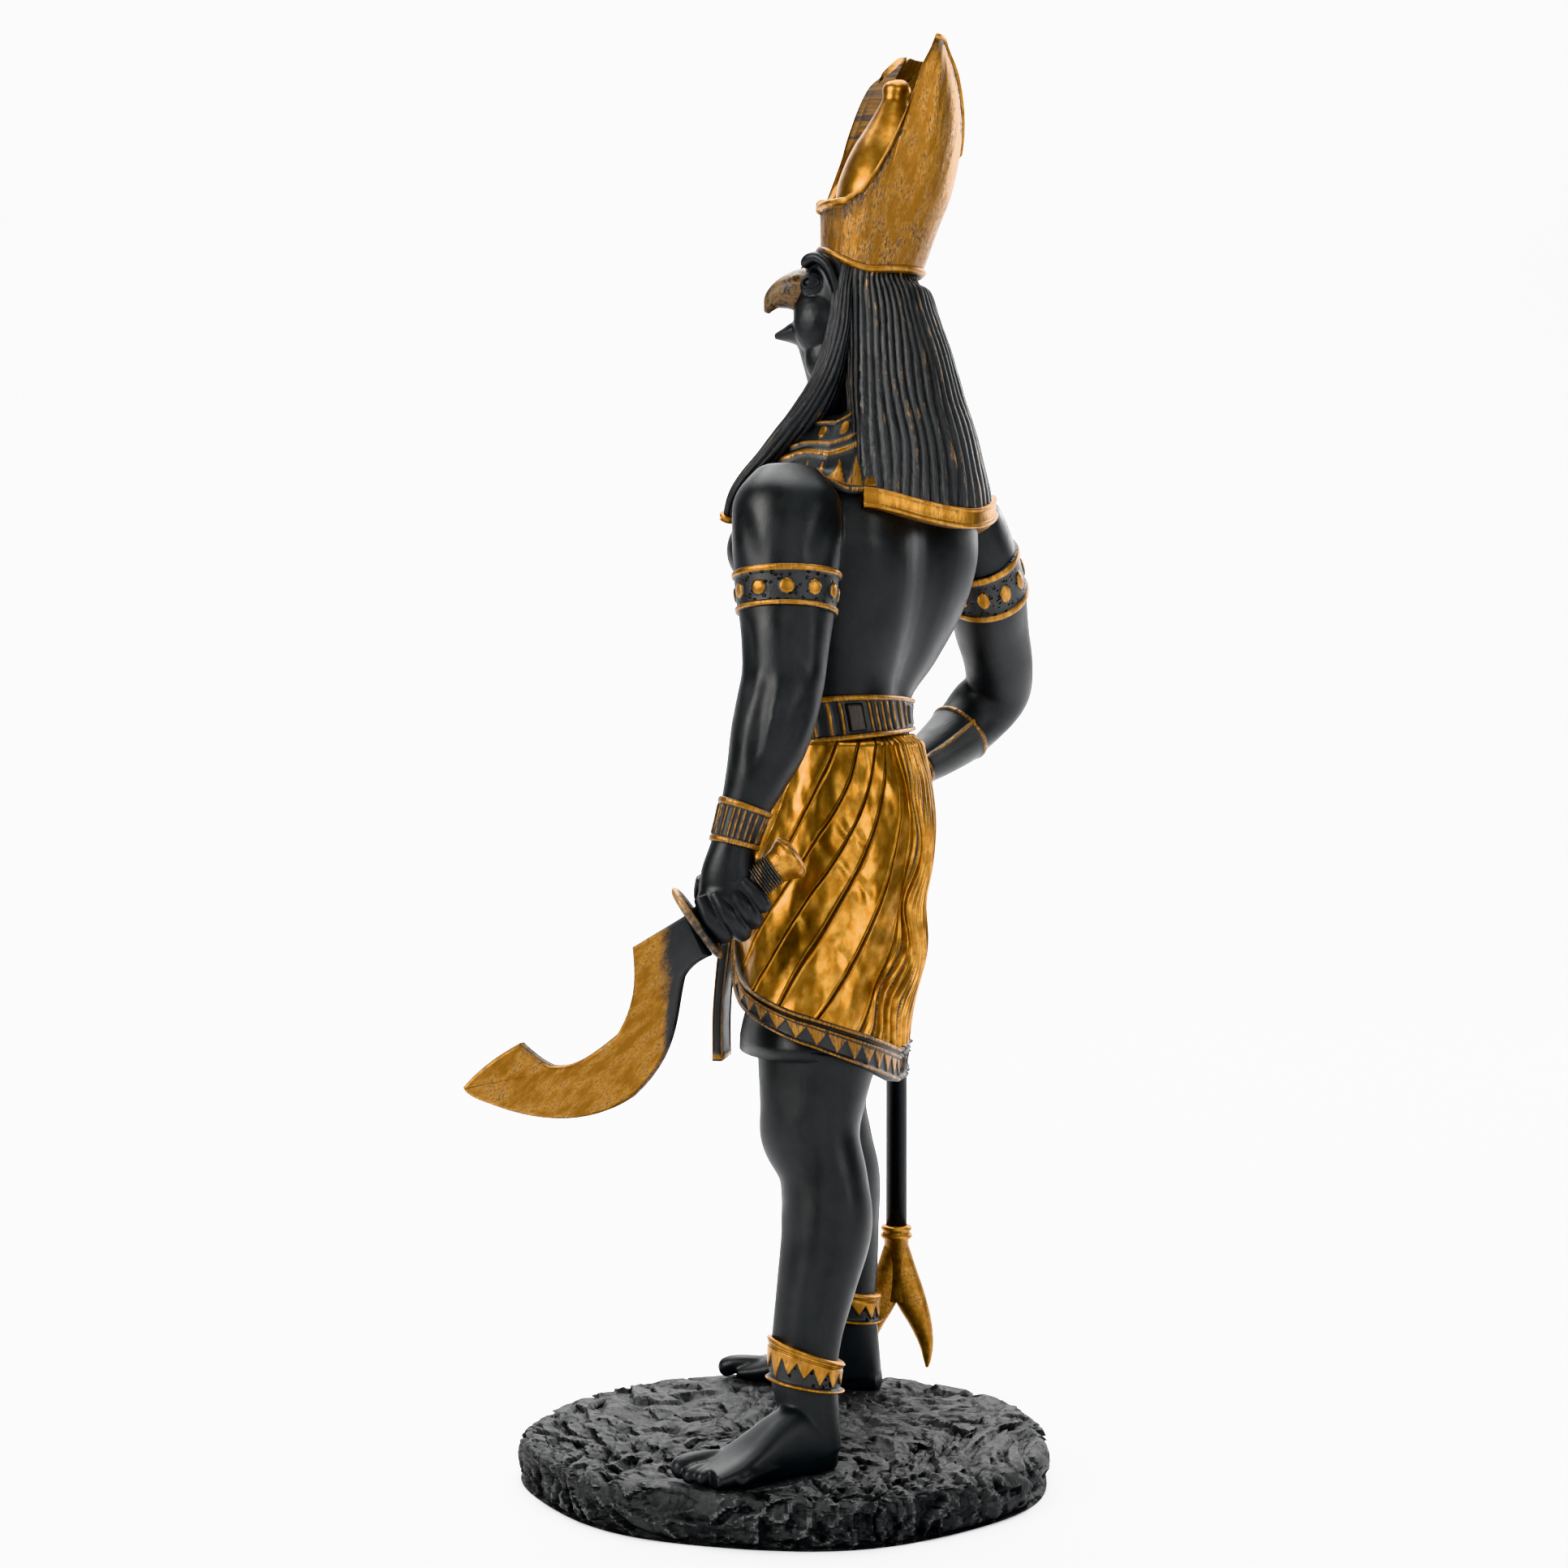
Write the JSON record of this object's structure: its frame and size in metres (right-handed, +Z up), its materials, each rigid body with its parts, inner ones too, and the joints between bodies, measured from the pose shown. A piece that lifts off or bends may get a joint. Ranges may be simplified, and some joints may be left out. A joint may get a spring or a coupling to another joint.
{
  "type": "horus falcon figure",
  "caption": "Standing falcon-headed figure in black resin with antique gold, with a sickle sword, a forked sceptre, a pleated kilt and a tall crown, on a rough rock base.",
  "frame": {"origin": "middle of the base's underside", "axes": "+Z up from the underside to the crown, -Y the way the feet and the face point, +X the figure's left side"},
  "size_m": [0.121, 0.1223, 0.3054],
  "materials": {
    "black_resin": "satin charcoal black paint on cast resin",
    "rock_resin": "matt charcoal black with grey dry-brushed edges",
    "antique_gold": "metallic antique gold paint with dark patina on cast resin",
    "polished_gold": "bright metallic gold paint on cast resin"
  },
  "bodies": {
    "root": {"figure": "black_resin", "rock_base": "rock_resin", "khopesh": "antique_gold", "was_sceptre": "black_resin"}
  },
  "joints": []
}
